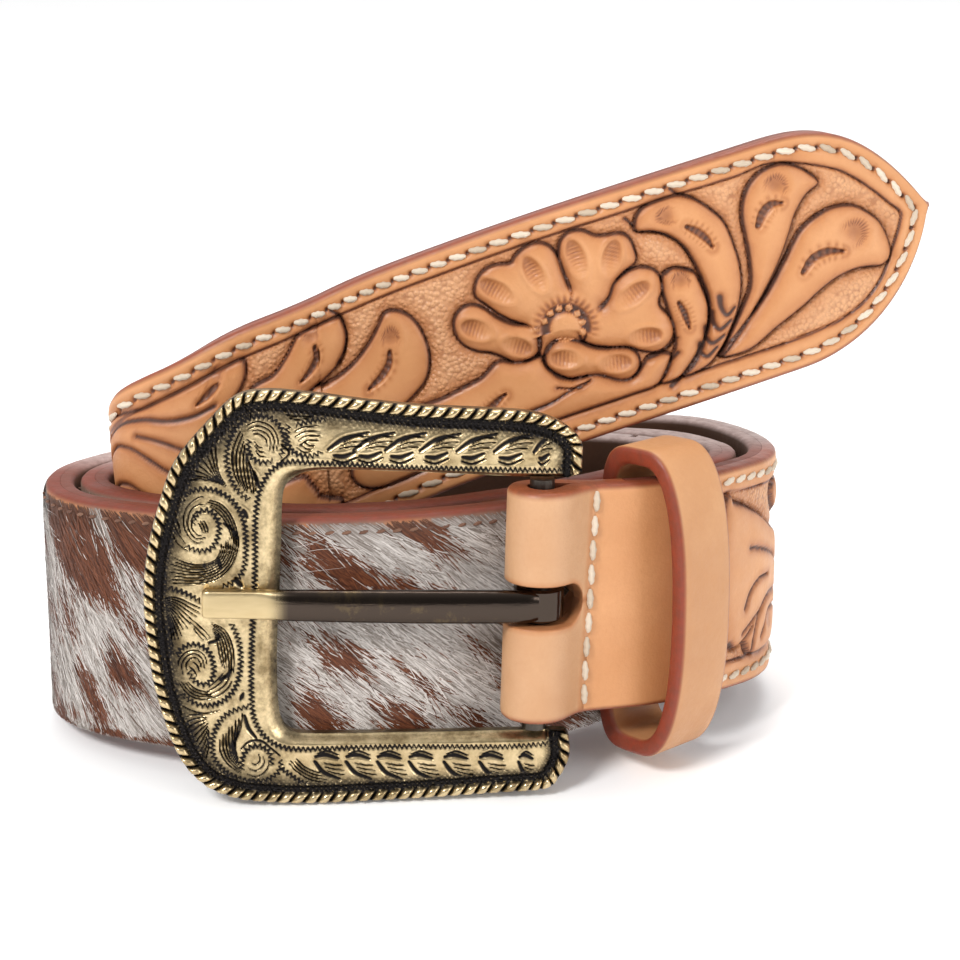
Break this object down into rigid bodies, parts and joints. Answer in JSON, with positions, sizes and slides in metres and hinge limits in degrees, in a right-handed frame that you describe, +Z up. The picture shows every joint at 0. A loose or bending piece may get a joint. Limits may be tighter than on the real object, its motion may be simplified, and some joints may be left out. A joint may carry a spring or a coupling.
{
  "type": "western leather belt",
  "caption": "Tooled leather belt with a hair-on hide middle, coiled and standing on edge; engraved buckle frame and prong hinge on a heel bar, plain keeper loop.",
  "frame": {"origin": "centre of the bounding box in X and Y, at its lowest level", "axes": "+Z up, -Y towards the viewer of the buckle, +X to the viewer's right, where the free end points"},
  "size_m": [0.1442, 0.078, 0.097],
  "materials": {
    "tooled_leather": "satin, vegetable tanned",
    "lining_leather": "matt",
    "hair_on_hide": "hair-on, brown and white",
    "antique_brass": "antiqued, engraved",
    "bar_steel": "dark plated",
    "prong_brass": "polished"
  },
  "bodies": {
    "strap": {"lining_strap": "lining_leather", "buckle_billet": "tooled_leather", "hide_inlay": "hair_on_hide", "tip_billet": "tooled_leather", "keeper_loop": "tooled_leather"},
    "buckle": {"buckle_frame": "antique_brass", "heel_bar": "bar_steel"},
    "prong": {"prong": "prong_brass"}
  },
  "joints": [
    {"name": "buckle_swing", "type": "hinge", "parent": "strap", "child": "buckle", "pos_m": [0.00832, -0.03079, 0.03118], "axis": [0.0284, 0.1051, 0.9941], "range_deg": [0, 70]},
    {"name": "prong_swing", "type": "hinge", "parent": "buckle", "child": "prong", "pos_m": [0.00832, -0.03079, 0.03118], "axis": [0.0284, 0.1051, 0.9941], "range_deg": [0, 65]}
  ]
}
